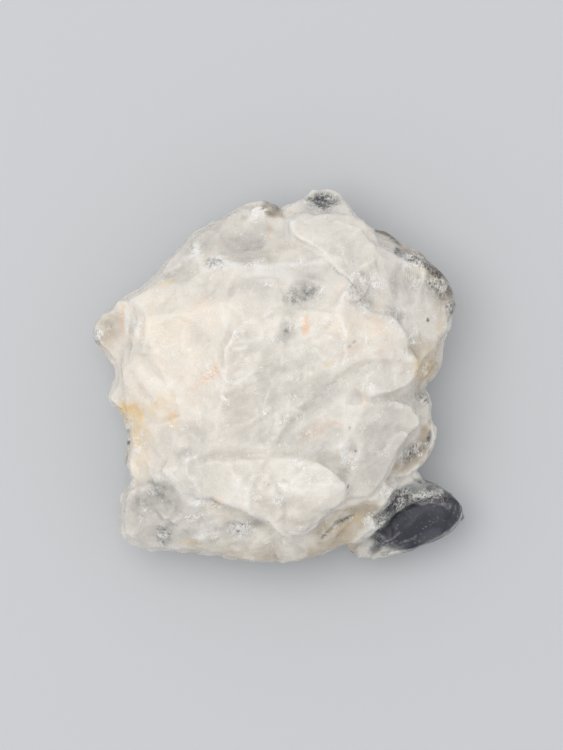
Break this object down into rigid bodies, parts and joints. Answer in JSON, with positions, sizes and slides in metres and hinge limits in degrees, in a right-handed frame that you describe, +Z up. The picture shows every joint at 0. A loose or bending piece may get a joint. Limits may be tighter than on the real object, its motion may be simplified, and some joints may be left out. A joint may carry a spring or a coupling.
{
  "type": "rough petalite",
  "caption": "Rough lump of milky petalite lying flat: broken cleavage plates, stepped ledges, curved breaks and a thin clear flake at one corner.",
  "frame": {"origin": "middle of the plan outline, on the surface that the stone rests on", "axes": "+Z up out of the cleavage face that it rests on, +Y towards the pointed crest, the clear flake lies at +X and -Y"},
  "size_m": [0.0496, 0.05, 0.0243],
  "materials": {
    "petalite": "milky white translucent petalite with waxy to glassy broken faces, clear windows and faint ochre stains"
  },
  "bodies": {
    "root": {"petalite": "petalite"}
  },
  "joints": []
}
